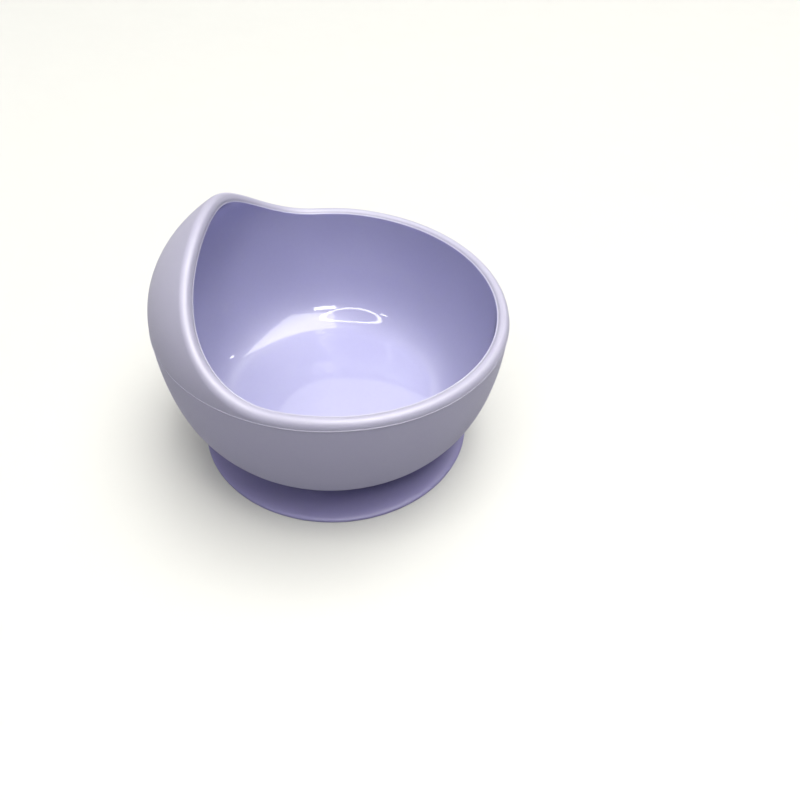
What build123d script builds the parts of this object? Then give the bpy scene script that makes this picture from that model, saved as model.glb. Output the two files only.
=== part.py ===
from build123d import *
import os
from math import hypot, sqrt

# Child's suction bowl in moulded silicone, in millimetres.
# The axis of the bowl and of its suction cup is Z and the table is the plane Z = 0.
# The raised scoop wall is on the -X side, the release tab is at the back, on the +Y side.

# ---- bowl ----
bowl_radius = 59.0  # to the mould's parting line, the widest place
wall = 4.3
floor_thick = 4.3
bowl_bottom_z = 9.7  # underside of the bowl's floor
floor_radius = 34.0  # flat part of the floor
side_drop = 34.3  # how far the side's upright tangent reaches below the parting line
corner_inset = 12.8  # how far the floor's level tangent stops short of the widest radius
hood_rise = 40.6  # how high the inward curve above the parting line would close over the bowl

# ---- rim line, seen from the side ----
low_rim_z = 57.7  # rim height in the middle of the bowl
parting_below_rim = 2.4
rim_dip = 2.1  # how much the rim falls from the middle to the +X side
scoop_radius = 25.8  # arc that carries the rim up to the top of the scoop wall
scoop_start_x = -12.5  # where that arc leaves the low rim
rim_round = 2.6  # rounding of the rim's outer edge; the inner edge is crisp

# ---- suction cup ----
cup_radius = 49.5
lip_height = 1.4  # upright edge of the sealing lip
lip_land = 2.2  # width of the flat ring that seals on the table
dome_height = 5.6  # hollow under the cup, at the axis
neck_radius = 25.0
neck_height = 3.1
neck_fillet = 2.0
flange_sag = 0.5  # how far the top of the flange curves below a straight cone

# ---- cured adhesive between the neck and the bowl ----
bond_thick = 0.3
bond_margin = 1.0  # the adhesive stops short of the neck's edge
bond_hole_radius = 10.0

# ---- release tab ----
tab_width = 18.0
tab_reach = 9.2  # how far it stands out from the cup's edge
tab_lift_gap = 0.2  # daylight between the tab and the table
tab_corner = 6.0
rib_count = 3
rib_pitch = 2.2
rib_size = (9.0, 1.0, 0.6)  # length, width, height
rib_end_gap = 1.6  # from the tab's tip to the last rib

# ---- sizes that follow from these ----
widest_z = low_rim_z - parting_below_rim
floor_z = bowl_bottom_z + floor_thick
crown_z = widest_z + hood_rise
scoop_end_x = scoop_start_x - scoop_radius
scoop_top_z = low_rim_z + scoop_radius
neck_top_z = bowl_bottom_z - bond_thick
flange_top_z = neck_top_z - neck_height
seal_radius = cup_radius - lip_land
clear_of_bowl = 2 * bowl_radius
clear_rim_z = low_rim_z - rim_dip * clear_of_bowl / bowl_radius


def outside_the_wall_middle(edge):
    """True for a rim edge on the outer face of the wall, false for one on the inner face."""
    middle = edge @ 0.5
    rise = max(0, middle.Z - widest_z) / (hood_rise - wall / 2)
    return hypot(middle.X, middle.Y) > (bowl_radius - wall / 2) * sqrt(1 - rise**2)


os.makedirs("parts", exist_ok=True)

# ---- bowl: a turned wall that curls in like a hood, cut open along the rim line ----
with BuildPart() as bowl:
    with BuildSketch(Plane.XZ):
        with BuildLine():
            Line((0, bowl_bottom_z), (floor_radius, bowl_bottom_z))
            Bezier(
                (floor_radius, bowl_bottom_z),
                (bowl_radius - corner_inset, bowl_bottom_z),
                (bowl_radius, widest_z - side_drop),
                (bowl_radius, widest_z),
            )
            EllipticalCenterArc((0, widest_z), bowl_radius, hood_rise, arc_size=90)
            Line((0, crown_z), (0, crown_z - wall))
            EllipticalCenterArc((0, widest_z), bowl_radius - wall, hood_rise - wall, arc_size=90)
            # the two tangents move in by the wall's thickness, which keeps the wall even
            Bezier(
                (bowl_radius - wall, widest_z),
                (bowl_radius - wall, widest_z - side_drop + 0.36 * wall),
                (bowl_radius - corner_inset - 0.48 * wall, floor_z),
                (floor_radius, floor_z),
            )
            Line((floor_radius, floor_z), (0, floor_z))
            Line((0, floor_z), (0, bowl_bottom_z))
        make_face()
    revolve(axis=Axis.Z)
    with BuildSketch(Plane.XZ):
        with BuildLine():
            Line((clear_of_bowl, clear_rim_z), (0, low_rim_z))
            Line((0, low_rim_z), (scoop_start_x, low_rim_z))
            RadiusArc((scoop_start_x, low_rim_z), (scoop_end_x, scoop_top_z), scoop_radius)
            Line((scoop_end_x, scoop_top_z), (scoop_end_x, 2 * crown_z))
            Line((scoop_end_x, 2 * crown_z), (clear_of_bowl, 2 * crown_z))
            Line((clear_of_bowl, 2 * crown_z), (clear_of_bowl, clear_rim_z))
        make_face()
    extrude(amount=clear_of_bowl, both=True, mode=Mode.SUBTRACT)
    rim_edges = bowl.edges(Select.LAST).filter_by(GeomType.LINE, reverse=True)
    fillet(rim_edges.filter_by(outside_the_wall_middle), rim_round)
bowl.part.label = "bowl"
export_step(bowl.part, "parts/bowl.step")

# ---- suction cup: neck, flange and sealing lip over a shallow dome ----
with BuildPart() as suction_cup:
    with BuildSketch(Plane.XZ):
        with BuildLine():
            TangentArc((0, dome_height), (seal_radius, 0), tangent=(1, 0))
            Line((seal_radius, 0), (cup_radius, 0))
            Line((cup_radius, 0), (cup_radius, lip_height))
            flange_top = SagittaArc(
                (cup_radius, lip_height), (neck_radius, flange_top_z), -flange_sag
            )
            Line((neck_radius, flange_top_z), (neck_radius, neck_top_z))
            Line((neck_radius, neck_top_z), (0, neck_top_z))
            Line((0, neck_top_z), (0, dome_height))
        make_face()
    revolve(axis=Axis.Z)
    neck_root = suction_cup.edges().filter_by(
        lambda edge: abs(edge.center().Z - flange_top_z) < 0.01
        and edge.geom_type == GeomType.CIRCLE
    )
    fillet(neck_root, neck_fillet)
suction_cup.part.label = "suction_cup"
export_step(suction_cup.part, "parts/suction_cup.step")

# ---- ring of cured silicone adhesive that joins the two mouldings ----
with BuildPart() as bond_ring:
    with BuildSketch(Plane.XY.offset(neck_top_z)):
        Circle(neck_radius - bond_margin)
        Circle(bond_hole_radius, mode=Mode.SUBTRACT)
    extrude(amount=bond_thick)
bond_ring.part.label = "bond_ring"
export_step(bond_ring.part, "parts/bond_ring.step")

# ---- release tab: a tongue on the edge of the lip, with grip ribs on top ----
tab_tip_y = cup_radius + tab_reach
ribs_mid_y = tab_tip_y - rib_end_gap - (rib_count - 1) / 2 * rib_pitch
with BuildPart() as release_tab:
    with BuildSketch(Plane.XY.offset(tab_lift_gap)):
        with Locations((0, cup_radius)):
            Rectangle(tab_width, 2 * tab_reach)
        fillet(vertices().group_by(Axis.Y)[-1], tab_corner)
        Circle(cup_radius, mode=Mode.SUBTRACT)
    extrude(amount=lip_height - tab_lift_gap)
    rib_length, rib_width, rib_height = rib_size
    with BuildSketch(Plane.XY.offset(lip_height)):
        with Locations((0, ribs_mid_y)):
            with GridLocations(0, rib_pitch, 1, rib_count):
                SlotOverall(rib_length, rib_width)
    extrude(amount=rib_height)
release_tab.part.label = "release_tab"
export_step(release_tab.part, "parts/release_tab.step")
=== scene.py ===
# %% [markdown]
# # A child's suction bowl
# The real object is two silicone mouldings. The bowl has a low rim on three sides and a raised
# scoop wall on the fourth, so that a child can push food against it and onto the spoon. Under it
# sits a wide suction cup, bonded on with silicone adhesive, with a small tab that lets the air in.
#
# The sizes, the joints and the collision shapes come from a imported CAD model. This lesson rebuilds
# the visible pieces round it with finer surfaces and gives each its finish. We load the CAD model
# first, because every piece is placed from it, and note its box before anything is added.

# %% Load the CAD frame
import bpy
import bmesh
from math import atan2, cos, hypot, pi, radians, sin, sqrt, tan
from mathutils import Matrix, Vector


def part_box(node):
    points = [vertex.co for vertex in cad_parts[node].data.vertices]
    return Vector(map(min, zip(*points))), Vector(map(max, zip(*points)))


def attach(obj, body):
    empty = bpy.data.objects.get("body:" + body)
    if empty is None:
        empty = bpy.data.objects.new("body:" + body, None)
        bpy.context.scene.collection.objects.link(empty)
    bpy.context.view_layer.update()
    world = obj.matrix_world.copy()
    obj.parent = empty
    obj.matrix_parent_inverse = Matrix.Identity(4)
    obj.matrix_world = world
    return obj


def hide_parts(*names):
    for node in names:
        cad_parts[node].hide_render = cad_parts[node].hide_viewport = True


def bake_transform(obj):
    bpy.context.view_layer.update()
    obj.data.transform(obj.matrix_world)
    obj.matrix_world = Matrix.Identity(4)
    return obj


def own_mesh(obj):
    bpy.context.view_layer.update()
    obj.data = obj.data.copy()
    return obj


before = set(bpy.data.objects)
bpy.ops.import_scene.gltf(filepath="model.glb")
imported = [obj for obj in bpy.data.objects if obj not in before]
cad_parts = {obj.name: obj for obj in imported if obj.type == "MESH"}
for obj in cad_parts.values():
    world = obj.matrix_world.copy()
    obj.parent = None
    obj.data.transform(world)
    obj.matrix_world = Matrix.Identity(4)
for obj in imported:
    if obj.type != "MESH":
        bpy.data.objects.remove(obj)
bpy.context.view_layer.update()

# %% [markdown]
# ## Sizes
# Moulded goods are drawn in millimetres and Blender works in metres. We model in millimetres and
# scale each finished mesh once, so every number below can be checked against a ruler. Outer sizes
# are read from the CAD boxes. The few values that a box can't give, such as the wall's thickness,
# are named here.

# %% Sizes in millimetres
MM = 0.001


def box_mm(node):
    low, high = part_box(node)
    return low / MM, high / MM


bowl_low, bowl_high = box_mm("bowl")
cup_low, cup_high = box_mm("suction_cup")
bond_low, bond_high = box_mm("bond_ring")
tab_low, tab_high = box_mm("release_tab")

bowl_radius = bowl_high.y
bowl_bottom = bowl_low.z
cup_radius = cup_high.y
neck_top = cup_high.z

wall = 4.3  # thickness of the bowl's wall and floor
floor_radius = 34.0  # flat part of the floor
widest_z = 55.3  # height of the parting line
side_drop = 34.3  # reach of the side's upright tangent
corner_inset = 12.8  # reach of the floor's level tangent
hood_rise = 40.6  # height at which the inward curve would close

low_rim = 57.7
rim_dip = 2.1  # fall of the rim towards +X
scoop_radius = 25.8
scoop_start = -12.5

around = 240  # steps in a full turn
print(f"bowl {2 * bowl_radius:.1f} mm across, cup {2 * cup_radius:.1f} mm, rim at {low_rim} mm")

# %% [markdown]
# ## The line of the wall
# Seen in section, the outer face of the bowl is one smooth line: a soft corner out of the floor, an
# upright side, and above the widest place a slow curl inward. We could draw it with a handful of
# vertices and subdivide. Instead we walk along the true curve in short steps and keep the distance
# travelled, because everything on the wall, from the rim to the mould line, is then found by how
# far up the wall it sits. The outward direction comes with it, so the inner face is the same line
# moved inward by the wall's thickness.

# %% Walk up the outer face
trace_steps = 160


def bezier(points, t):
    a, b, c, d = points
    s = 1 - t
    return tuple(
        s**3 * a[k] + 3 * s * s * t * b[k] + 3 * s * t * t * c[k] + t**3 * d[k] for k in range(2)
    )


side_points = (
    (floor_radius, bowl_bottom),
    (bowl_radius - corner_inset, bowl_bottom),
    (bowl_radius, widest_z - side_drop),
    (bowl_radius, widest_z),
)
trace = [bezier(side_points, k / trace_steps) for k in range(trace_steps + 1)]
for k in range(1, trace_steps):
    turn = 0.5 * pi * k / trace_steps
    trace.append((bowl_radius * cos(turn), widest_z + hood_rise * sin(turn)))

travelled = [0.0]
for here, after in zip(trace, trace[1:]):
    travelled.append(travelled[-1] + hypot(after[0] - here[0], after[1] - here[1]))
widest_travel = travelled[trace_steps]


def direction_at(k):
    before, after = trace[max(k - 1, 0)], trace[min(k + 1, len(trace) - 1)]
    along = Vector((after[0] - before[0], after[1] - before[1]))
    return along.normalized()


directions = [direction_at(k) for k in range(len(trace))]
directions[0] = Vector((1.0, 0.0))


def on_wall(travel, depth=0.0):
    """The (radius, height) that lies travel up the outer face and depth into the wall."""
    low, high = 0, len(travelled) - 1
    while high - low > 1:
        middle = (low + high) // 2
        low, high = (middle, high) if travelled[middle] <= travel else (low, middle)
    part = (travel - travelled[low]) / (travelled[high] - travelled[low])
    along = directions[low].lerp(directions[high], part).normalized()
    outward = Vector((along.y, -along.x))
    return Vector(trace[low]).lerp(Vector(trace[high]), part) - outward * depth


print(f"from the floor to the parting line the face is {widest_travel:.1f} mm long")

# %% [markdown]
# ## The rim line
# Seen from the side, the rim runs almost level and then sweeps up in a quarter circle to the top of
# the scoop wall. A knife that follows that line, pushed straight through the bowl, would cut the
# wall open along it. We find the same line without cutting: for each direction round the axis we
# look for the place on the wall where the knife would meet it. A light smoothing afterwards does
# what the mould maker's sandpaper does where the level stretch runs into the arc.

# %% Find the rim for each direction round the axis
scoop_top = low_rim + scoop_radius
search_tolerance = 0.001


def above_the_cut(x, z):
    """How far a point lies above the rim line, negative where the wall stays."""
    if x >= scoop_start:
        return z - (low_rim - rim_dip * max(x, 0.0) / bowl_radius)
    if z <= scoop_top:
        return scoop_radius - hypot(x - scoop_start, z - scoop_top)
    return x - (scoop_start - scoop_radius)


def rim_travel(turn):
    low, high = 0.0, travelled[-2]
    while high - low > search_tolerance:
        middle = (low + high) / 2
        radius, height = on_wall(middle, wall / 2)
        if above_the_cut(radius * cos(turn), height) > 0:
            high = middle
        else:
            low = middle
    return low


rim_travels = [rim_travel(2 * pi * k / around) for k in range(around)]
smoothing_rounds = 8
for _ in range(smoothing_rounds):
    rim_travels = [
        (rim_travels[k - 1] + 2 * rim_travels[k] + rim_travels[(k + 1) % around]) / 4
        for k in range(around)
    ]
highest = on_wall(max(rim_travels), wall / 2)
print(f"the scoop wall rises to {highest.y:.1f} mm")

# %% [markdown]
# ## Turning a section
# Both mouldings and the adhesive between them are turned shapes. The helper below draws a section
# as a chain of vertices, spins it through a full turn and closes the poles. Each vertex carries the
# number of its station in the section, which the spin copies to every step, so a later step can ask
# any vertex where it sits. The normals are recalculated once the doubles are gone.

# %% Helpers for turned pieces
def spin_section(section):
    """A closed mesh of revolution about Z from (radius, height) stations in millimetres."""
    bm = bmesh.new()
    station = bm.verts.layers.int.new("station")
    chain = []
    for k, (radius, height) in enumerate(section):
        vertex = bm.verts.new((radius, 0.0, height))
        vertex[station] = k
        chain.append(vertex)
    edges = [bm.edges.new(pair) for pair in zip(chain, chain[1:])]
    bmesh.ops.spin(
        bm, geom=chain + edges, axis=(0, 0, 1), cent=(0, 0, 0),
        angle=2 * pi, steps=around, use_merge=True,
    )
    bmesh.ops.remove_doubles(bm, verts=bm.verts, dist=0.0005)
    return bm, station


def finish_piece(bm, name, materials, body):
    """Scales a millimetre mesh to metres, shades it smooth and hangs it on its body."""
    bmesh.ops.recalc_face_normals(bm, faces=bm.faces)
    bmesh.ops.scale(bm, vec=(MM, MM, MM), verts=bm.verts)
    for face in bm.faces:
        face.smooth = True
    mesh = bpy.data.meshes.new(name)
    bm.to_mesh(mesh)
    bm.free()
    for material in materials:
        mesh.materials.append(material)
    piece = bpy.data.objects.new(name, mesh)
    bpy.context.scene.collection.objects.link(piece)
    if body:
        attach(piece, body)
    print(f"{name}: {len(mesh.polygons)} faces")
    return piece


def turn_step(vertex):
    """Which of the steps round the axis a vertex stands on."""
    return round(atan2(vertex.co.y, vertex.co.x) / (2 * pi) * around) % around


# %% [markdown]
# ## Shader groups
# Silicone is one material with several faces. Pigment is never mixed perfectly, the mould's surface
# is copied down to its grain, hands leave patches that are a little glossier, and lint clings to it
# everywhere. Each of these effects is used by more than one material, so each is built once as a
# node group with named inputs. Groups give out colours, masks and heights only. The shader itself
# stays in the material. Long node trees are mostly a few sums repeated, so we first write helpers
# that make one node each.

# %% Helpers for node trees
def new_group(name, inputs, outputs):
    """An empty group with its sockets, and its input and output nodes."""
    group = bpy.data.node_groups.new(name, "ShaderNodeTree")
    for label, kind, value in inputs:
        socket = group.interface.new_socket(name=label, in_out="INPUT", socket_type=kind)
        socket.default_value = value
    for label, kind in outputs:
        group.interface.new_socket(name=label, in_out="OUTPUT", socket_type=kind)
    return group, group.nodes.new("NodeGroupInput"), group.nodes.new("NodeGroupOutput")


NUMBER = "NodeSocketFloat"
COLOUR = "NodeSocketColor"


def noise(tree, scale, detail=2.0, roughness=0.5):
    """A noise texture on the piece's own coordinates. scale is in features per metre."""
    place = tree.nodes.new("ShaderNodeTexCoord")
    node = tree.nodes.new("ShaderNodeTexNoise")
    node.inputs["Detail"].default_value = detail
    node.inputs["Roughness"].default_value = roughness
    tree.links.new(place.outputs["Object"], node.inputs["Vector"])
    if isinstance(scale, bpy.types.NodeSocket):
        tree.links.new(scale, node.inputs["Scale"])
    else:
        node.inputs["Scale"].default_value = scale
    return node.outputs["Fac"]


def maths(tree, operation, *values):
    """A maths node. Each value is a number or another node's socket."""
    node = tree.nodes.new("ShaderNodeMath")
    node.operation = operation
    for k, value in enumerate(values):
        if isinstance(value, bpy.types.NodeSocket):
            tree.links.new(value, node.inputs[k])
        else:
            node.inputs[k].default_value = value
    return node.outputs[0]


def stretch(tree, value, low, high):
    """Maps low..high to 0..1 and clamps it."""
    node = tree.nodes.new("ShaderNodeMapRange")
    node.inputs["From Min"].default_value = low
    node.inputs["From Max"].default_value = high
    tree.links.new(value, node.inputs["Value"])
    return node.outputs["Result"]


def mix_colour(tree, factor, a, b):
    """Colour a where factor is 0, colour b where it is 1."""
    node = tree.nodes.new("ShaderNodeMix")
    node.data_type = "RGBA"
    for value, socket in ((factor, node.inputs[0]), (a, node.inputs[6]), (b, node.inputs[7])):
        if isinstance(value, bpy.types.NodeSocket):
            tree.links.new(value, socket)
        else:
            socket.default_value = value
    return node.outputs[2]


print("helpers for", NUMBER, "and", COLOUR)

# %% [markdown]
# ### Pigment
# Pigment paste is kneaded into the silicone before moulding. It leaves slow clouds a few
# centimetres across and a mottling of about a millimetre, both so faint that nobody notices them
# until they are missing. Two noise textures say how much of the deeper colour shows at each place.

# %% Make the pigment group
pigment_group, inside, out = new_group(
    "pigment",
    [("Colour", COLOUR, (0.6, 0.6, 0.8, 1)), ("Deep colour", COLOUR, (0.5, 0.5, 0.7, 1)),
     ("Clouds", NUMBER, 0.5), ("Mottle", NUMBER, 0.2)],
    [("Colour", COLOUR)],
)
clouds = stretch(
    pigment_group, noise(pigment_group, scale=28.0, detail=3.0), low=0.35, high=0.7
)
mottle = stretch(
    pigment_group, noise(pigment_group, scale=900.0, detail=2.0), low=0.4, high=0.65
)
depth = maths(
    pigment_group, "ADD",
    maths(pigment_group, "MULTIPLY", clouds, inside.outputs["Clouds"]),
    maths(pigment_group, "MULTIPLY", mottle, inside.outputs["Mottle"]),
)
pigment_group.links.new(
    mix_colour(pigment_group, depth, inside.outputs["Colour"], inside.outputs["Deep colour"]),
    out.inputs["Colour"],
)
print("group", pigment_group.name)

# %% [markdown]
# ### Mould skin
# The mould prints its own grain on the silicone, fine where it was blasted and almost none where it
# was polished. A soft wall is never quite true either, and its slow waves bend the reflections. The
# group adds a fine noise and a slow one into one height, and each material turns that into bumps.

# %% Make the mould skin group
skin_group, inside, out = new_group(
    "mould_skin",
    [("Grain size", NUMBER, 4000.0), ("Grain", NUMBER, 0.3), ("Waves", NUMBER, 0.3)],
    [("Height", NUMBER)],
)
grain = noise(skin_group, scale=inside.outputs["Grain size"], detail=3.0, roughness=0.6)
waves = noise(skin_group, scale=70.0, detail=1.0)
skin_group.links.new(
    maths(
        skin_group, "ADD",
        maths(skin_group, "MULTIPLY", grain, inside.outputs["Grain"]),
        maths(skin_group, "MULTIPLY", waves, inside.outputs["Waves"]),
    ),
    out.inputs["Height"],
)
print("group", skin_group.name)

# %% [markdown]
# ### Handling
# Fingers polish silicone a little and leave a trace of grease, so a used bowl has patches that
# shine more. The group moves between two roughness values with a soft noise and adds a fine change
# on top, because even an untouched surface isn't equally dull everywhere.

# %% Make the handling group
handling_group, inside, out = new_group(
    "handling",
    [("Roughness", NUMBER, 0.5), ("Rubbed roughness", NUMBER, 0.4), ("Fine change", NUMBER, 0.05)],
    [("Roughness", NUMBER)],
)
patches = stretch(
    handling_group, noise(handling_group, scale=45.0, detail=4.0, roughness=0.6),
    low=0.45, high=0.7,
)
span = maths(
    handling_group, "SUBTRACT", inside.outputs["Rubbed roughness"], inside.outputs["Roughness"]
)
fine = maths(handling_group, "SUBTRACT", noise(handling_group, scale=1500.0), 0.5)
handling_group.links.new(
    maths(
        handling_group, "ADD",
        maths(
            handling_group, "ADD",
            maths(handling_group, "MULTIPLY", patches, span), inside.outputs["Roughness"],
        ),
        maths(handling_group, "MULTIPLY", fine, inside.outputs["Fine change"]),
    ),
    out.inputs["Roughness"],
)
print("group", handling_group.name)

# %% [markdown]
# ### Lint
# Silicone is slightly tacky and collects dust. A few pale specks are enough. A Voronoi texture
# divides space into cells, and its colour output is a random number for each cell. We keep only a
# small share of the cells and mark a small ball at the middle of each.

# %% Make the lint group
lint_group, inside, out = new_group(
    "lint",
    [("Cells", NUMBER, 150.0), ("Speck size", NUMBER, 0.05), ("Share", NUMBER, 0.1)],
    [("Mask", NUMBER)],
)
place = lint_group.nodes.new("ShaderNodeTexCoord")
cells = lint_group.nodes.new("ShaderNodeTexVoronoi")
lint_group.links.new(place.outputs["Object"], cells.inputs["Vector"])
lint_group.links.new(inside.outputs["Cells"], cells.inputs["Scale"])
split = lint_group.nodes.new("ShaderNodeSeparateColor")
lint_group.links.new(cells.outputs["Color"], split.inputs["Color"])
near = maths(lint_group, "LESS_THAN", cells.outputs["Distance"], inside.outputs["Speck size"])
chosen = maths(lint_group, "LESS_THAN", split.outputs[0], inside.outputs["Share"])
lint_group.links.new(maths(lint_group, "MULTIPLY", near, chosen), out.inputs["Mask"])
print("group", lint_group.name)

# %% [markdown]
# ## Silicone
# Silicone is slightly translucent: light goes in, scatters and comes out a few millimetres away,
# which softens every shadow on it. The outside is moulded against a blasted surface and feels dry,
# so it is rough with a faint bloom. The inside is moulded against a polished core, so that it wipes
# clean, and it shows the lamps through a thin glossy coat. Both faces are the same silicone, but
# they get two colours with painted light in them: the outside's colour is greyer, a painted sheen
# for the white light a rough face scatters, and the inside's is bluer, painted bounce light for the
# lilac light that goes round inside the bowl.
#
# One function makes every silicone and takes the values that differ. Values that are the same all
# over a piece, such as the sheen, are set on the shader's own sockets.

# %% Colours of the silicone
# Painted light: the outer pair is greyed as a painted sheen and the inner pair is bluer as painted
# bounce light. The silicone itself is one colour.
outer_lilac_painted_sheen = (0.405, 0.397, 0.525, 1.0)
outer_deep_lilac_painted_sheen = (0.382, 0.370, 0.505, 1.0)
inner_lilac_painted_bounce = (0.380, 0.379, 0.588, 1.0)
inner_deep_lilac_painted_bounce = (0.357, 0.352, 0.568, 1.0)
# The cup's colours are darker and more violet than the bowl's. This is painted shade for the shadow
# the bowl casts over the cup.
cup_lilac_painted_shade = (0.288, 0.270, 0.510, 1.0)
cup_deep_lilac_painted_shade = (0.275, 0.256, 0.495, 1.0)
lint_colour = (0.86, 0.86, 0.88, 1.0)
print("outside", outer_lilac_painted_sheen[:3], "inside", inner_lilac_painted_bounce[:3])

# %% The silicone material
def add_group(tree, group, **values):
    """A group node in a material's tree, with values for its inputs."""
    node = tree.nodes.new("ShaderNodeGroup")
    node.node_tree = group
    for label, value in values.items():
        node.inputs[label.replace("_", " ")].default_value = value
    return node


def silicone(
    name, colour, deep, roughness, rubbed, grain_size, grain, waves, bump,
    sheen=0.0, coat=0.0, coat_roughness=0.1, scatter=0.2, ior=1.43, shine=0.5, lint_share=0.06,
):
    """A material of one silicone finish, built on the four groups."""
    material = bpy.data.materials.new(name)
    material.use_nodes = True
    tree = material.node_tree
    shader = tree.nodes["Principled BSDF"]
    shader.inputs["IOR"].default_value = ior
    shader.inputs["Specular IOR Level"].default_value = shine
    shader.inputs["Subsurface Weight"].default_value = scatter
    shader.inputs["Subsurface Radius"].default_value = (0.9, 0.8, 1.0)
    shader.inputs["Subsurface Scale"].default_value = 0.003
    shader.inputs["Sheen Weight"].default_value = sheen
    shader.inputs["Sheen Roughness"].default_value = 0.5
    shader.inputs["Coat Weight"].default_value = coat
    shader.inputs["Coat Roughness"].default_value = coat_roughness
    pigment = add_group(
        tree, pigment_group, Colour=colour, Deep_colour=deep, Clouds=0.4, Mottle=0.2
    )
    lint = add_group(tree, lint_group, Cells=170.0, Speck_size=0.045, Share=lint_share)
    dusty = mix_colour(tree, lint.outputs["Mask"], pigment.outputs["Colour"], lint_colour)
    tree.links.new(dusty, shader.inputs["Base Color"])
    handled = add_group(tree, handling_group, Roughness=roughness, Rubbed_roughness=rubbed)
    tree.links.new(handled.outputs["Roughness"], shader.inputs["Roughness"])
    skin = add_group(tree, skin_group, Grain_size=grain_size, Grain=grain, Waves=waves)
    relief = tree.nodes.new("ShaderNodeBump")
    relief.inputs["Distance"].default_value = bump
    tree.links.new(skin.outputs["Height"], relief.inputs["Height"])
    tree.links.new(relief.outputs["Normal"], shader.inputs["Normal"])
    print("material", name)
    return material


# %% [markdown]
# ### Five finishes
# The bowl needs two: soft-touch outside and polished inside. So does the cup, which is satin on top
# and polished where it seals, because a rough face would let air creep under it. The cured adhesive
# is pale and a little cloudy. Roughness comes in pairs, untouched and rubbed, and bump heights are
# in metres.

# %% Make the five finishes
soft_touch = silicone(
    "soft_touch_silicone", outer_lilac_painted_sheen, outer_deep_lilac_painted_sheen, roughness=0.56, rubbed=0.48,
    grain_size=5200.0, grain=0.5, waves=1.2, bump=0.00008, sheen=0.15, ior=1.45, shine=0.85,
)
polished = silicone(
    "polished_silicone", inner_lilac_painted_bounce, inner_deep_lilac_painted_bounce, roughness=0.42, rubbed=0.36,
    grain_size=2600.0, grain=0.10, waves=1.2, bump=0.00010,
    coat=1.0, coat_roughness=0.04, shine=0.35, lint_share=0.03,
)
cup_satin = silicone(
    "cup_silicone", cup_lilac_painted_shade, cup_deep_lilac_painted_shade, roughness=0.45, rubbed=0.36,
    grain_size=4800.0, grain=0.4, waves=1.0, bump=0.00007, sheen=0.15, scatter=0.25,
)
cup_sealing = silicone(
    "sealing_silicone", cup_lilac_painted_shade, cup_deep_lilac_painted_shade, roughness=0.22, rubbed=0.17,
    grain_size=2400.0, grain=0.08, waves=1.2, bump=0.00006, coat=0.4, scatter=0.25,
)
adhesive = silicone(
    "adhesive_silicone", (0.80, 0.80, 0.83, 1), (0.72, 0.72, 0.76, 1), roughness=0.35,
    rubbed=0.25, grain_size=2000.0, grain=0.2, waves=2.0, bump=0.00010, scatter=0.4,
)

# %% [markdown]
# ## The bowl
# The bowl's section starts at the axis under the floor, climbs the outer face, goes over the rim
# and comes back down inside. We list its stations by where they sit: how far out under the floor,
# how far up the wall, how deep into the rim. The section is spun once at an even height. Then every
# vertex slides along the wall until its share of the way up is right for the rim in its own
# direction. The rings stay evenly spaced and flow up into the scoop wall, as no cut would leave
# them.
#
# The rim has a generous round on the outside and a crowned top that stands a little above the rim
# line. Near the inner face the top dips into a fine groove and ends in a crisp edge, the tiny lip
# that two mould halves leave where they meet. The polished face begins at that lip.

# %% List the stations of the bowl's section
rim_round_depth = 2.0
rim_round_height = 2.2
crown_rise = 0.6  # how far the crown stands above the rim line
inner_face_start = 0.85  # how far below the rim line the polished face begins
wall_rings = 38
floor_rings = 6

stations = [("under", k / floor_rings, 0.0) for k in range(floor_rings)]
stations += [("outer", k / wall_rings, 0.0) for k in range(wall_rings)]
round_steps = 12
for k in range(round_steps + 1):
    turn = 0.5 * pi * k / round_steps
    rise = (rim_round_height + crown_rise) * sin(turn) - rim_round_height
    stations.append(("rim", rim_round_depth * (1 - cos(turn)), rise))
inner_shoulder = [  # (distance from the inner face, drop below the crown): groove, then lip
    (1.95, 0.02), (1.60, 0.07), (1.25, 0.16), (0.95, 0.32), (0.74, 0.54), (0.60, 0.76),
    (0.48, 0.86), (0.38, 0.82), (0.27, 0.75), (0.16, 0.76), (0.06, 0.90), (0.0, 1.15),
]
stations += [("rim", wall - inset, crown_rise - drop) for inset, drop in inner_shoulder]
stations += [("inner", 1 - k / wall_rings, 0.0) for k in range(wall_rings + 1)]
stations += [("floor", 1 - k / floor_rings, 0.0) for k in range(1, floor_rings + 1)]


def bowl_station(station, rim):
    """The (radius, height) of a station where the rim stands rim up the wall."""
    zone, first, lift = station
    if zone == "under":
        return Vector((first * floor_radius, bowl_bottom))
    if zone == "outer":
        return on_wall(first * (rim - rim_round_height))
    if zone == "rim":
        return on_wall(rim + lift, first)
    if zone == "inner":
        return on_wall(first * (rim - inner_face_start), wall)
    return Vector((first * floor_radius, bowl_bottom + wall))


print(len(stations), "stations in the bowl's section")

# %% Spin the bowl and let the rim rise
level_rim = sum(rim_travels) / around
bm, station = spin_section([bowl_station(s, level_rim) for s in stations])
for vertex in bm.verts:
    step = turn_step(vertex)
    radius, height = bowl_station(stations[vertex[station]], rim_travels[step])
    turn = 2 * pi * step / around
    vertex.co = (radius * cos(turn), radius * sin(turn), height)

edge_depth = wall - 0.2  # the polish starts on the last stretch of the rim
first_polished = next(k for k, s in enumerate(stations) if s[0] == "rim" and s[1] > edge_depth)
for face in bm.faces:
    if min(vertex[station] for vertex in face.verts) >= first_polished:
        face.material_index = 1
bowl = finish_piece(bm, "bowl_moulding", [soft_touch, polished], "bowl")
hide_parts("bowl")

# %% [markdown]
# ## The mould line
# The bowl's outer mould is two rings that meet at the widest place, and a hair of silicone creeps
# between them. It is a real ridge, about a seventh of a millimetre high, and it catches the light
# as one thin bright line, so it is modelled and not painted. It is a ring of small section that is
# spun like the bowl and laid on the wall. Where the rim dips towards the widest place, the line
# stays just below the rim's outer round.

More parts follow.
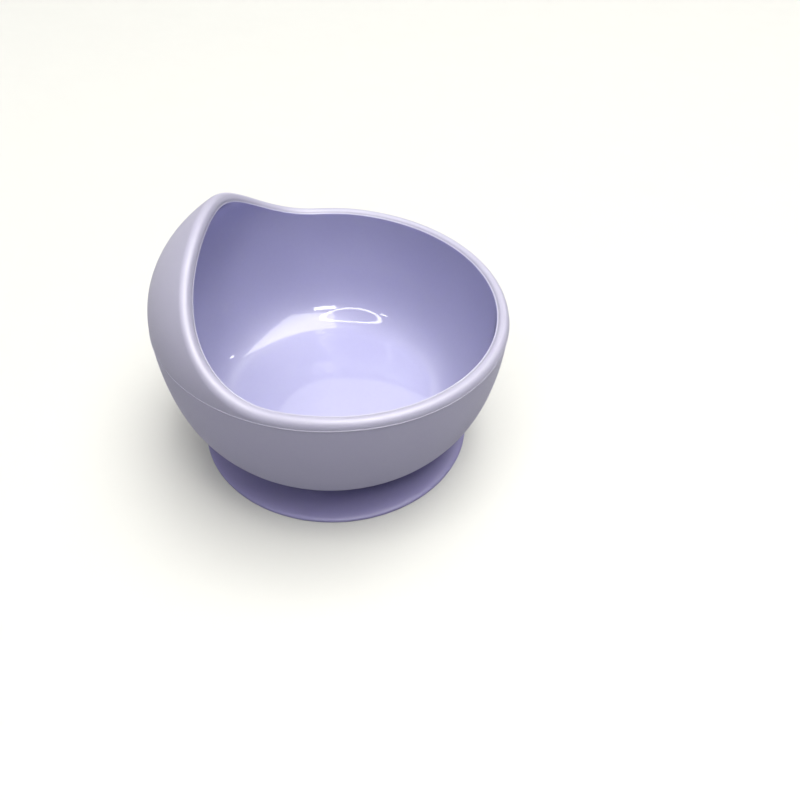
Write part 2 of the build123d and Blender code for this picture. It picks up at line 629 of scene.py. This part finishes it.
# %% Lay the mould line on the wall
line_half_width = 0.22
line_proud = 0.15
line_sides = 8
line_section = [
    (cos(2 * pi * k / line_sides), sin(2 * pi * k / line_sides)) for k in range(line_sides + 1)
]
bm, station = spin_section([(bowl_radius + a, widest_z + b) for a, b in line_section])
for vertex in bm.verts:
    step = turn_step(vertex)
    outward, up = line_section[vertex[station]]
    travel = min(widest_travel, rim_travels[step] - rim_round_height)
    radius, height = on_wall(travel + up * line_half_width, -outward * line_proud)
    turn = 2 * pi * step / around
    vertex.co = (radius * cos(turn), radius * sin(turn), height)
finish_piece(bm, "mould_line", [soft_touch], "bowl")

# %% [markdown]
# ## The suction cup
# The cup is a thin flange that flares from a short neck down to a thin lip. Underneath it is a
# shallow dome, with a flat ring that seals and two fine ridges that hold the vacuum if the table
# isn't quite clean. A small disc in the middle is where the silicone was let into the mould. The
# whole section is spun. The top is satin, and the sealing side is polished.

# %% Heights of the cup's two faces
dome_height = 5.6
seal_radius = cup_radius - 2.2  # a flat ring 2.2 mm wide
neck_radius = bond_high.x + 1.0  # the adhesive stops 1 mm short of the neck's edge
flange_top = neck_top - 3.1  # under a neck 3.1 mm high
flange_sag = 0.45
lip_height = 1.4
ridge_radii = (40.5, 44.0)
ridge_height = 0.28
ridge_half = 0.45
gate_radius = 3.0
gate_height = 0.35
gate_slope = 0.3  # how far out the gate disc's edge slopes


def dome(radius):
    """Height of the hollow under the cup, with its gate disc and sealing ridges."""
    height = dome_height * (1 - (radius / seal_radius) ** 2)
    for ridge in ridge_radii:
        height -= ridge_height * max(0.0, 1 - ((radius - ridge) / ridge_half) ** 2)
    if radius < gate_radius:
        height -= gate_height * min(1.0, (gate_radius - radius) / gate_slope)
    return height


def flange(radius):
    """Height of the cup's top face, which sags a little between the neck and the lip."""
    part = (cup_radius - radius) / (cup_radius - neck_radius)
    return lip_height + (flange_top - lip_height) * part - 4 * flange_sag * part * (1 - part)


print(f"the flange is {flange_top - lip_height:.1f} mm higher at the neck than at the lip")

# %% Draw the cup's section
under_radii = [0.0, 1.5, 2.7, 3.0, 3.4, 6.0]
under_radii += [9.0 + 3.0 * k for k in range(10)]
for ridge in ridge_radii:
    under_radii += [ridge + 0.15 * k for k in range(-3, 4)]
under_radii += [42.2, 45.8]
under_radii.sort()
cup_section = [(radius, dome(radius)) for radius in under_radii]
cup_section += [(seal_radius, 0.0), (seal_radius + 0.8, 0.0), (cup_radius - 0.55, 0.0)]
lip_rounding = [
    (cup_radius - 0.20, 0.06), (cup_radius - 0.04, 0.22), (cup_radius, 0.45),
    (cup_radius - 0.06, 0.72), (cup_radius - 0.26, 0.97), (cup_radius - 0.65, 1.22),
    (cup_radius - 1.3, 1.46),
]
cup_section += lip_rounding
root_radius = 2.2
cup_section += [
    (radius, flange(radius)) for radius in [cup_radius - 2.4 - k for k in range(19)]
]
root_steps = 6
for k in range(root_steps + 1):
    turn = 0.5 * pi * k / root_steps
    cup_section.append((
        neck_radius + root_radius * (1 - sin(turn)),
        flange(neck_radius + root_radius) + root_radius * (1 - cos(turn)),
    ))
cup_section += [(neck_radius, neck_top - 0.25), (neck_radius - 0.08, neck_top - 0.08)]
cup_section += [(neck_radius - 0.3, neck_top), (12.0, neck_top), (0.0, neck_top)]
print(len(cup_section), "stations in the cup's section")

# %% Spin the suction cup
bm, station = spin_section(cup_section)
flat_ring_stations = 3
last_sealing = len(under_radii) + flat_ring_stations
for face in bm.faces:
    if max(vertex[station] for vertex in face.verts) <= last_sealing:
        face.material_index = 1
cup = finish_piece(bm, "suction_cup_moulding", [cup_satin, cup_sealing], "cup")
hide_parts("suction_cup")

# %% [markdown]
# ## The bond
# The adhesive is squeezed out a little when the two mouldings are pressed together, so its edge
# bulges. It is thin and almost hidden, but it can be seen from low down between the neck and the
# bowl. Its section is a flat strip with a round edge, spun like the rest.

# %% Spin the bond
bond_inner = 10.0
bond_middle = (bond_low.z + bond_high.z) / 2
bond_half = (bond_high.z - bond_low.z) / 2
bulge_steps = 6
bond_section = [(bond_inner, bond_low.z)]
for k in range(bulge_steps + 1):
    turn = -0.5 * pi + pi * k / bulge_steps
    bond_section.append((bond_high.x - 0.3 + 0.5 * cos(turn), bond_middle + bond_half * sin(turn)))
bond_section += [(bond_inner, bond_high.z), (bond_inner, bond_low.z)]
bm, station = spin_section(bond_section)
bond = finish_piece(bm, "bond_bead", [adhesive], "bowl")
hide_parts("bond_ring")

# %% [markdown]
# ## The release tab
# The tab is a tongue that grows out of the cup's lip, with three ribs for a fingertip. A box with
# its edges bevelled would look cut out and glued on. Instead a fine grid is shaped into the tongue:
# its rows follow the rounded tip, its sides flare where they run into the lip, and its edge is a
# full round because the height falls away near the outline. A second copy of the grid makes the
# underside, and the two are merged along the outline. The root is left open, because it ends inside
# the cup's lip.

# %% The tongue's outline and ribs
tab_half = tab_high.x
tip_radius = 6.0
tip_y = tab_high.y
root_y = cup_radius - 2.6
tab_bottom = tab_low.z
rib_height = 0.6
tab_top = tab_high.z - rib_height
rib_pitch = 2.2
rib_half = 0.75
rib_reach = 4.5
rib_taper = 1.0
rib_count = 3
edge_round = 0.6
last_rib = tip_y - 1.6
flare_reach = 2.2  # how far out from the lip the sides begin to flare
flare = 0.32


def tongue_half_width(y):
    into_tip = max(0.0, y - (tip_y - tip_radius))
    half = tab_half - tip_radius + sqrt(max(0.0, tip_radius**2 - into_tip**2))
    into_root = max(0.0, cup_radius + flare_reach - y)
    return half + flare * into_root**2


def rib_rise(x, y):
    """The height of the grip ribs, each a rounded bar with tapered ends."""
    rise = 0.0
    for k in range(rib_count):
        off = abs(y - (last_rib - k * rib_pitch)) / rib_half
        end = max(0.0, abs(x) - rib_reach + rib_taper) / rib_taper
        across = max(0.0, 1 - off * off)
        rise = max(rise, rib_height * across**0.7 * max(0.0, 1 - end * end))
    return rise


def outline_distance(x, y, half):
    """Roughly how far inside the outline a point lies, from its sides and its tip."""
    corner_x = max(0.0, abs(x) - (tab_half - tip_radius))
    corner_y = max(0.0, y - (tip_y - tip_radius))
    if corner_y > 0:
        return tip_radius - hypot(corner_x, corner_y)
    return half - abs(x)


print(f"the tab reaches {tip_y - cup_radius:.1f} mm past the cup's edge")

# %% Shape the tongue from a grid
columns, rows = 72, 90
bm = bmesh.new()
bmesh.ops.create_grid(bm, x_segments=columns, y_segments=rows, size=1.0)
top_faces = list(bm.faces)
copy = bmesh.ops.duplicate(bm, geom=top_faces)
bottom_vertices = {element for element in copy["geom"] if isinstance(element, bmesh.types.BMVert)}
straight = tip_y - tip_radius - root_y
for vertex in bm.verts:
    across = sin(0.5 * pi * vertex.co.x)
    along = (vertex.co.y + 1) / 2 * (straight + 0.5 * pi * tip_radius)
    y = root_y + along
    if along > straight:
        y = tip_y - tip_radius + tip_radius * sin((along - straight) / tip_radius)
    half = tongue_half_width(y)
    x = across * half
    inside_edge = min(max(outline_distance(x, y, half), 0.0), edge_round)
    share = sqrt(max(0.0, 1 - (1 - inside_edge / edge_round) ** 2))
    middle = (tab_top + tab_bottom) / 2
    if vertex in bottom_vertices:
        z = middle - (middle - tab_bottom) * share
    else:
        z = middle + (tab_top - middle) * share + rib_rise(x, y)
    vertex.co = (x, y, z)
bmesh.ops.remove_doubles(bm, verts=bm.verts, dist=0.0008)
tab = finish_piece(bm, "release_tab_tongue", [cup_satin], None)
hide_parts("release_tab")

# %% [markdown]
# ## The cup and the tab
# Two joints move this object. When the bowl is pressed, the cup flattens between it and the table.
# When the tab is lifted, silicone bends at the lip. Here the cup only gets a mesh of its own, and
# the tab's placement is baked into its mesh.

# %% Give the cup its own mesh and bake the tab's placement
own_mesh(cup)
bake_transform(tab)

# %% [markdown]
# ## The table
# The bowl stands on a plain pale table. A wide disc is enough. Its material is pale with the
# faintest mottling, so that the soft shadows round the cup have something to fall on. It has two
# brightnesses: the camera sees the pale one, and the light that bounces up to the bowl takes a
# darker one. A studio does the same when it lights the table apart from the product, and it keeps
# the bowl's sides a quiet violet.

# %% The table and its finish
table_radius = 1.3
bounce_colour = (0.31, 0.31, 0.36, 1.0)
bm = bmesh.new()
bmesh.ops.create_circle(bm, cap_ends=True, segments=96, radius=table_radius)
table_mesh = bpy.data.meshes.new("table")
bm.to_mesh(table_mesh)
bm.free()
table = bpy.data.objects.new("table", table_mesh)
bpy.context.scene.collection.objects.link(table)

table_paint = bpy.data.materials.new("table_paint")
table_paint.use_nodes = True
paint = table_paint.node_tree.nodes["Principled BSDF"]
paint.inputs["Specular IOR Level"].default_value = 0.2
tone = add_group(
    table_paint.node_tree, pigment_group,
    Colour=(0.635, 0.64, 0.635, 1), Deep_colour=(0.625, 0.63, 0.625, 1), Clouds=0.5, Mottle=0.2,
)
path = table_paint.node_tree.nodes.new("ShaderNodeLightPath")
table_colour = mix_colour(
    table_paint.node_tree, path.outputs["Is Camera Ray"], bounce_colour, tone.outputs["Colour"]
)
dullness = add_group(table_paint.node_tree, handling_group, Roughness=0.7, Rubbed_roughness=0.6)
table_paint.node_tree.links.new(table_colour, paint.inputs["Base Color"])
table_paint.node_tree.links.new(dullness.outputs["Roughness"], paint.inputs["Roughness"])
table_mesh.materials.append(table_paint)
print(f"table: {2 * table_radius:.1f} m across")

# %% [markdown]
# ## Lamps
# A lamp in a studio could be placed by hand until it looks right. It is easier to say what the bowl
# sees: in which direction the lamp is, how many degrees wide and high it looks from there, and how
# bright its face is. Those three decide what it does, whatever its distance. Near lamps are area
# lamps, which can be any shape. Far ones are suns, which light the table evenly out to its edge.

# %% Helpers for lamps
lamp_colour = (1.0, 0.985, 0.93)
lamp_distance = 3.0


def aim(item, toward, twist=0.0):
    """Places a lamp in a direction from the bowl, facing it, and turns it by twist degrees."""
    place = Vector(toward).normalized() * lamp_distance
    facing = place.to_track_quat("Z", "Y").to_matrix().to_4x4()
    spin = Matrix.Rotation(radians(twist), 4, "Z")
    item.matrix_world = Matrix.Translation(place) @ facing @ spin
    bpy.context.scene.collection.objects.link(item)
    print("lamp", item.name)


def panel(name, toward, spread, radiance, shape="RECTANGLE", diffuse=True, twist=0.0):
    """An area lamp aimed at the bowl. spread is how wide and high it looks, in degrees."""
    light = bpy.data.lights.new(name, "AREA")
    light.shape = shape
    light.size, light.size_y = (2 * lamp_distance * tan(radians(angle / 2)) for angle in spread)
    area = light.size * light.size_y * (pi / 4 if shape == "ELLIPSE" else 1.0)
    light.energy = radiance * pi * area
    light.color = lamp_colour
    item = bpy.data.objects.new(name, light)
    item.visible_diffuse = diffuse
    aim(item, toward, twist)
    return light


def far_light(name, toward, spread, radiance):
    """A round light so far away that it lights the whole table evenly, unseen in reflections."""
    light = bpy.data.lights.new(name, "SUN")
    light.angle = radians(spread)
    light.energy = radiance * pi * sin(light.angle / 2) ** 2
    light.color = lamp_colour
    item = bpy.data.objects.new(name, light)
    item.visible_glossy = False
    aim(item, toward)
    return light


# %% [markdown]
# ### Where the light comes from
# Pale silicone is best lit from above, so that the rim and the floor of the bowl shine and its
# sides stay darker. A softbox overhead gives most of the light. A second lamp in the same place
# shows only in reflections, because the broad highlight inside the bowl has to outshine the
# silicone round it. A ring lamp near the camera leaves its small oval in the polished wall.
#
# The others fill in. A wide light straight above and a weak one behind soften the shadows without
# showing in the polish. A large haze lamp stands behind and shows only there, as a pale veil where
# the floor turns up into the wall. A faint panel at the left lights the scoop wall's outer face,
# and three small bright lamps leave glints.

# %% Place the lamps
softbox_toward = (0.28, -0.02, 0.96)
softbox_spread = (54.0, 33.0)
softbox_twist = 12.0
panel("softbox", softbox_toward, softbox_spread, 4.9, twist=softbox_twist)
panel("softbox_glare", softbox_toward, softbox_spread, 10.5, diffuse=False, twist=softbox_twist)
ring = panel("ring_lamp", (-0.14, -0.36, 0.90), (35.0, 42.0), 12.5, "ELLIPSE")
far_light("overhead", (0.0, 0.05, 1.0), 50.0, 2.3)
far_light("back_light", (-0.10, 0.66, 0.75), 34.0, 0.6)
haze = panel("haze_lamp", (-0.02, 0.64, 0.77), (70.0, 62.0), 1.5, "ELLIPSE", diffuse=False)
panel("left_panel", (-0.85, 0.25, 0.45), (32.0, 32.0), 0.15)
glints = [  # (direction, how wide and high it looks)
    ((-0.50, -0.47, 0.73), (5.0, 3.0)),
    ((0.70, 0.44, 0.57), (2.0, 4.0)),
    ((0.18, -0.64, 0.75), (15.0, 7.0)),
]
glint_radiance = 18.0
for number, (toward, spread) in enumerate(glints):
    panel(f"glint_{number + 1}", toward, spread, glint_radiance, diffuse=False)

# %% [markdown]
# ### Two lamps with a pattern
# An area lamp is equally bright all over and its edge is sharp, which shows in a polished wall. Two
# lamps need more. The ring lamp is a disc that is dark in the middle, and the haze lamp fades out
# towards its edge. A lamp can have a shader like any surface, so we measure how far each point of
# its face lies from the middle and let that set the strength.

# %% Shade the ring and the haze
ring_hole = 0.41
haze_edge, haze_core = 0.5, 0.1


def from_middle(light):
    """The distance from a lamp's middle as a socket, 0 there and 0.5 at its edge."""
    light.use_nodes = True
    face = light.node_tree.nodes.new("ShaderNodeNewGeometry")
    middle = light.node_tree.nodes.new("ShaderNodeVectorMath")
    middle.operation = "DISTANCE"
    middle.inputs[1].default_value = (0.5, 0.5, 0.0)
    light.node_tree.links.new(face.outputs["Parametric"], middle.inputs[0])
    return middle.outputs["Value"]


middle_of_ring = from_middle(ring)
tube = maths(ring.node_tree, "GREATER_THAN", middle_of_ring, ring_hole)
ring.node_tree.links.new(tube, ring.node_tree.nodes["Emission"].inputs["Strength"])
middle_of_haze = from_middle(haze)
fade = stretch(haze.node_tree, middle_of_haze, low=haze_edge, high=haze_core)
haze.node_tree.links.new(fade, haze.node_tree.nodes["Emission"].inputs["Strength"])
print("patterned lamps:", ring.name, haze.name)

# %% [markdown]
# ### Backdrop
# The backdrop is the world itself. It has two brightnesses, like the table: almost white where the
# camera looks straight at it, and dim as a source of light, so that the shadows under the bowl keep
# their depth.

# %% Make the backdrop
world = bpy.data.worlds.new("studio")
world.use_nodes = True
fill_light = (0.100, 0.100, 0.104, 1.0)
backdrop = (1.0, 1.0, 0.985, 1.0)
seen = world.node_tree.nodes.new("ShaderNodeLightPath")
world.node_tree.links.new(
    mix_colour(world.node_tree, seen.outputs["Is Camera Ray"], fill_light, backdrop),
    world.node_tree.nodes["Background"].inputs["Color"],
)
bpy.context.scene.world = world
print("fill light", fill_light[:3])

# %% [markdown]
# ## Camera
# The camera looks down at the bowl at 44 degrees from close by, about a quarter of a metre, with a
# slightly wide lens. That is why the near side of the rim looks larger than the far side. It is
# rolled a little, as a camera held in the hand is. Colours go straight to the screen, with no film
# curve, which keeps the white of the table clean.

# %% Place the camera
camera_data = bpy.data.cameras.new("camera")
camera_data.sensor_width = 36.0
camera_data.lens = 31.46
camera_data.clip_start = 0.01
camera = bpy.data.objects.new("camera", camera_data)
look_down = 0.774
roll = 0.048
camera.matrix_world = (
    Matrix.Translation(Vector((23.93, -188.89, 196.02)) * MM)
    @ Matrix.Rotation(0.5 * pi - look_down, 4, "X")
    @ Matrix.Rotation(roll, 4, "Z")
)
bpy.context.scene.collection.objects.link(camera)
bpy.context.scene.camera = camera
bpy.context.scene.view_settings.view_transform = "Standard"
bpy.context.scene.view_settings.look = "None"
print(f"camera: {camera_data.lens:.1f} mm lens, {camera.location.length:.2f} m from the origin")
